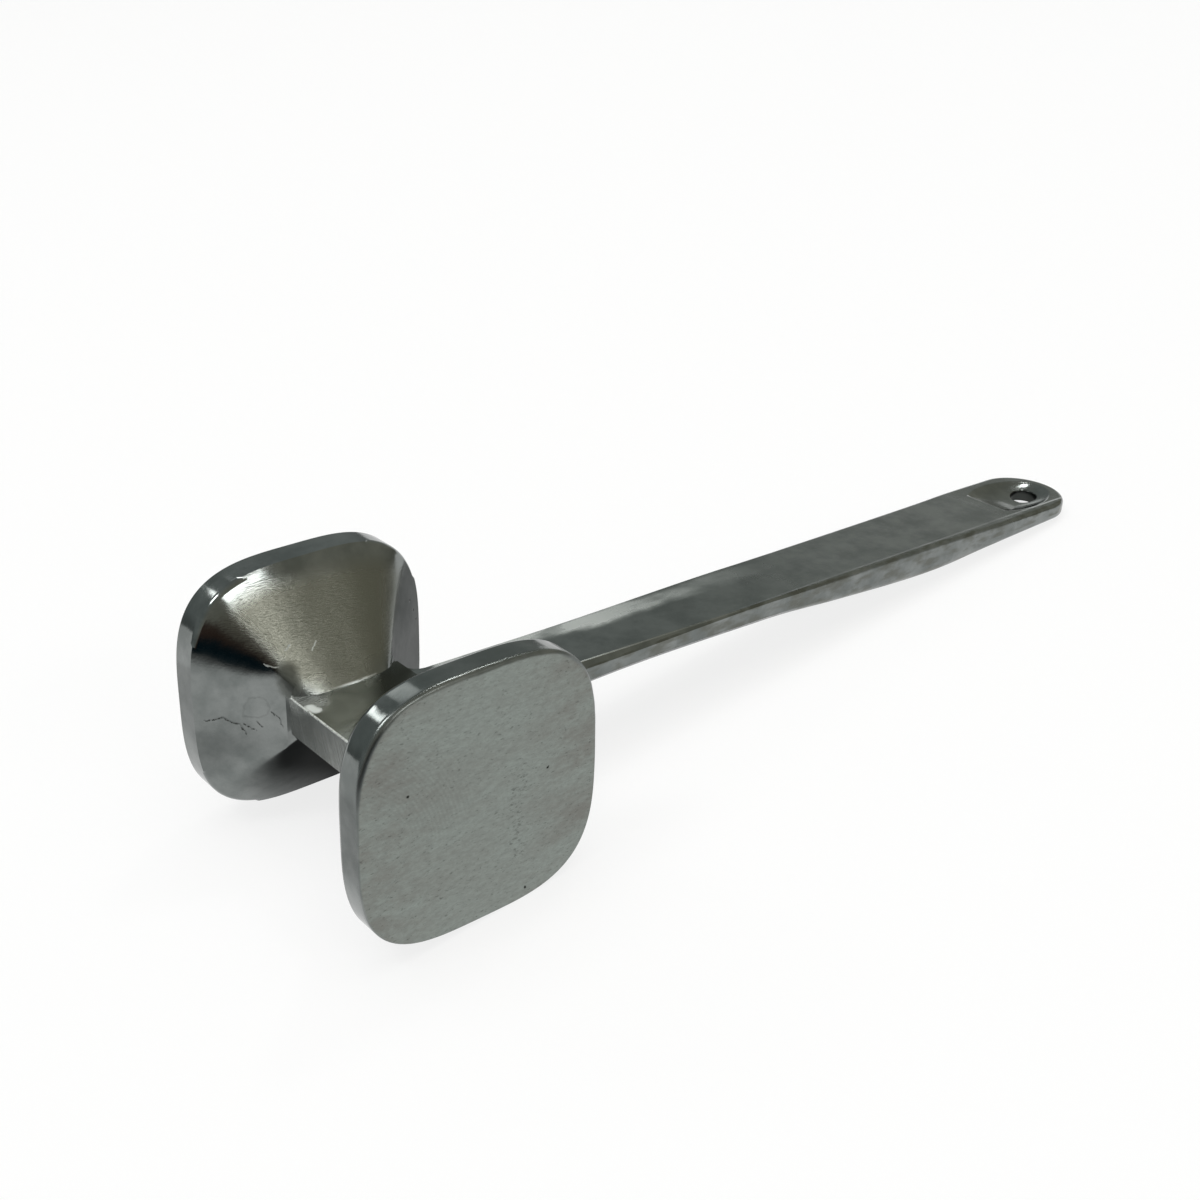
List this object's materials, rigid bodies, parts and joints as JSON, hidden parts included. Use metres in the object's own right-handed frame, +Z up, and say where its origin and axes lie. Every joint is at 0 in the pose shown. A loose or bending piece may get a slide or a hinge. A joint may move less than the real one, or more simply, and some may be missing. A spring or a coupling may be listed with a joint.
{
  "type": "meat tenderizer",
  "caption": "Two-sided cast aluminium meat tenderizer: a smooth and a toothed rounded-square head on a waist block, and a flat bar handle ending in a dished hang hole.",
  "frame": {"origin": "centre of the footprint on the surface that the tool lies on, at z = 0", "axes": "+X runs from the heads along the handle, +Y along the head axis from the smooth face to the toothed face, +Z up; the tool lies as it rests on a worktop, on the rims of both heads and the end of the handle"},
  "size_m": [0.2488, 0.0702, 0.056],
  "materials": {
    "handle_aluminium": "polished casting with fine buffing scratches",
    "head_aluminium": "buffed casting, ground flat and matt on the striking face",
    "pin_steel": "plain turned steel"
  },
  "bodies": {
    "root": {"handle": "handle_aluminium", "smooth_head": "head_aluminium", "toothed_head": "head_aluminium", "tie_stud": "pin_steel", "smooth_head_dowel_front": "pin_steel", "smooth_head_dowel_handle_side": "pin_steel", "toothed_head_dowel_front": "pin_steel", "toothed_head_dowel_handle_side": "pin_steel"}
  },
  "joints": []
}
